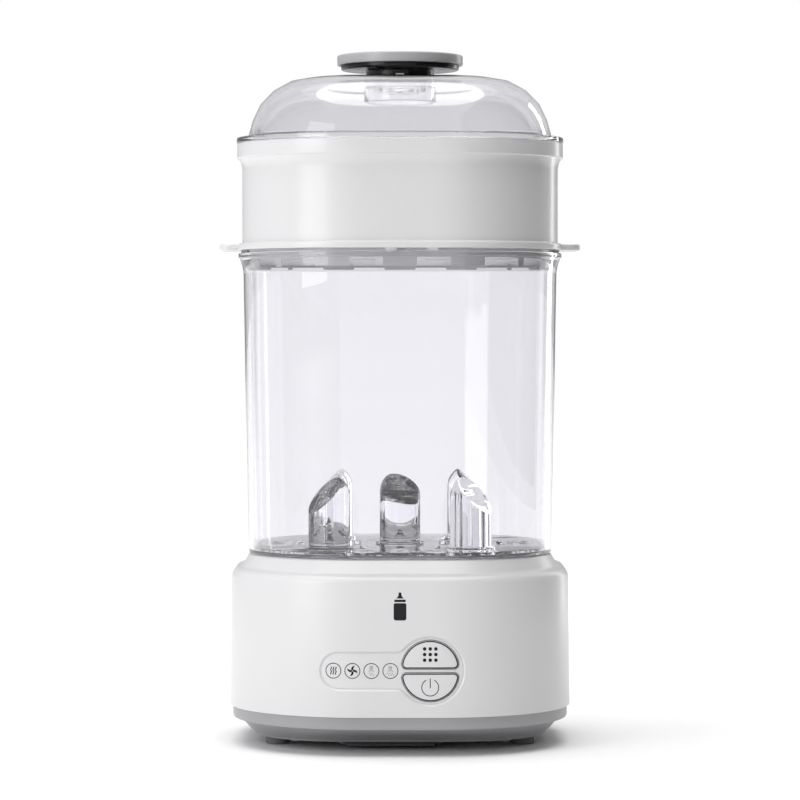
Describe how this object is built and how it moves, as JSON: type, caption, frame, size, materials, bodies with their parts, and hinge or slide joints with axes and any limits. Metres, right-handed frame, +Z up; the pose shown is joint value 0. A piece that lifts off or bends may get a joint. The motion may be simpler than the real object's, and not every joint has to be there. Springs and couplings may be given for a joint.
{
  "type": "bottle sterilizer",
  "caption": "Steam sterilizer and dryer for feeding bottles: heated base with keys, clear chamber with pegged rack, upper tray and clear domed lid with knob.",
  "frame": {"origin": "middle of the appliance's footprint, on the surface that it stands on", "axes": "+Z up, the control panel faces -Y, +X to the right of a person facing the panel"},
  "size_m": [0.1994, 0.188, 0.3806],
  "materials": {
    "white_abs": "fine satin moulded plastic",
    "white_pp": "satin moulded plastic",
    "grey_abs": "fine matte moulded plastic",
    "dark_plastic": "matte moulded plastic",
    "black_gloss": "polished moulded plastic",
    "clear_plastic": "polished clear plastic",
    "light_guide": "clear moulded plastic",
    "panel_film": "satin printed film",
    "steel": "brushed",
    "zinc": "zinc plated",
    "cast_alloy": "as cast",
    "silicone": "matte silicone",
    "rubber": "matte",
    "ceramic": "glazed ceramic",
    "phenolic": "matte phenolic",
    "circuit_board": "solder mask",
    "component_black": "matte",
    "component_blue": "glossy",
    "terminal_green": "glossy",
    "lead_sleeve": "braided sleeve",
    "filter_media": "pleated paper",
    "lamp": "glossy"
  },
  "bodies": {
    "base": {"base_housing": "white_abs", "bottom_cover": "grey_abs", "rubber_feet": "rubber", "bottom_screws": "zinc", "cord_gland": "dark_plastic", "heating_plate": "steel", "plate_seal": "silicone", "heating_ring": "cast_alloy", "thermostat": "phenolic", "thermal_fuse": "ceramic", "clamp_strap": "zinc", "strap_screws": "zinc", "air_outlet": "white_abs", "air_duct": "dark_plastic", "ptc_heater": "cast_alloy", "fan_housing": "dark_plastic", "fan_motor": "zinc", "air_filter": "filter_media", "panel_overlay": "panel_film", "control_board": "circuit_board", "board_frame": "white_abs", "board_screws": "zinc", "tact_switches": "component_black", "indicator_leds": "lamp", "light_guides": "light_guide", "power_board": "circuit_board", "power_board_screws": "zinc", "transformer": "component_black", "heater_relay": "component_blue", "capacitor": "component_black", "terminal_block": "terminal_green", "heater_leads": "lead_sleeve", "panel_harness": "lead_sleeve"},
    "blower_wheel": {"fan_impeller": "white_pp", "motor_shaft": "steel"},
    "filter_cover": {"filter_cover": "dark_plastic"},
    "mode_button": {"mode_button": "white_abs"},
    "power_button": {"power_button": "white_abs"},
    "chamber": {"bottle_chamber": "clear_plastic"},
    "rack": {"bottle_rack": "clear_plastic"},
    "tray": {"upper_tray": "white_pp"},
    "lid": {"lid_dome": "clear_plastic", "knob_stem": "black_gloss", "knob_cap": "grey_abs", "knob_screws": "steel"}
  },
  "joints": [
    {"name": "chamber_lift", "type": "slide", "parent": "base", "child": "chamber", "axis": [0, 0, 1], "range_m": [0, 0.1]},
    {"name": "rack_lift", "type": "slide", "parent": "chamber", "child": "rack", "axis": [0, 0, 1], "range_m": [0, 0.1]},
    {"name": "tray_lift", "type": "slide", "parent": "chamber", "child": "tray", "axis": [0, 0, 1], "range_m": [0, 0.1]},
    {"name": "lid_lift", "type": "slide", "parent": "tray", "child": "lid", "axis": [0, 0, 1], "range_m": [0, 0.1]},
    {"name": "mode_press", "type": "slide", "parent": "base", "child": "mode_button", "axis": [0, 1, 0], "range_m": [0, 0.0008], "stiffness_N_per_m": 1500},
    {"name": "power_press", "type": "slide", "parent": "base", "child": "power_button", "axis": [0, 1, 0], "range_m": [0, 0.0008], "stiffness_N_per_m": 1500},
    {"name": "blower_spin", "type": "hinge", "parent": "base", "child": "blower_wheel", "pos_m": [-0.005, -0.033, 0.0264], "axis": [0, 0, 1], "continuous": true},
    {"name": "filter_cover_slide", "type": "slide", "parent": "base", "child": "filter_cover", "axis": [0, -1, 0], "range_m": [0, 0.045]}
  ]
}
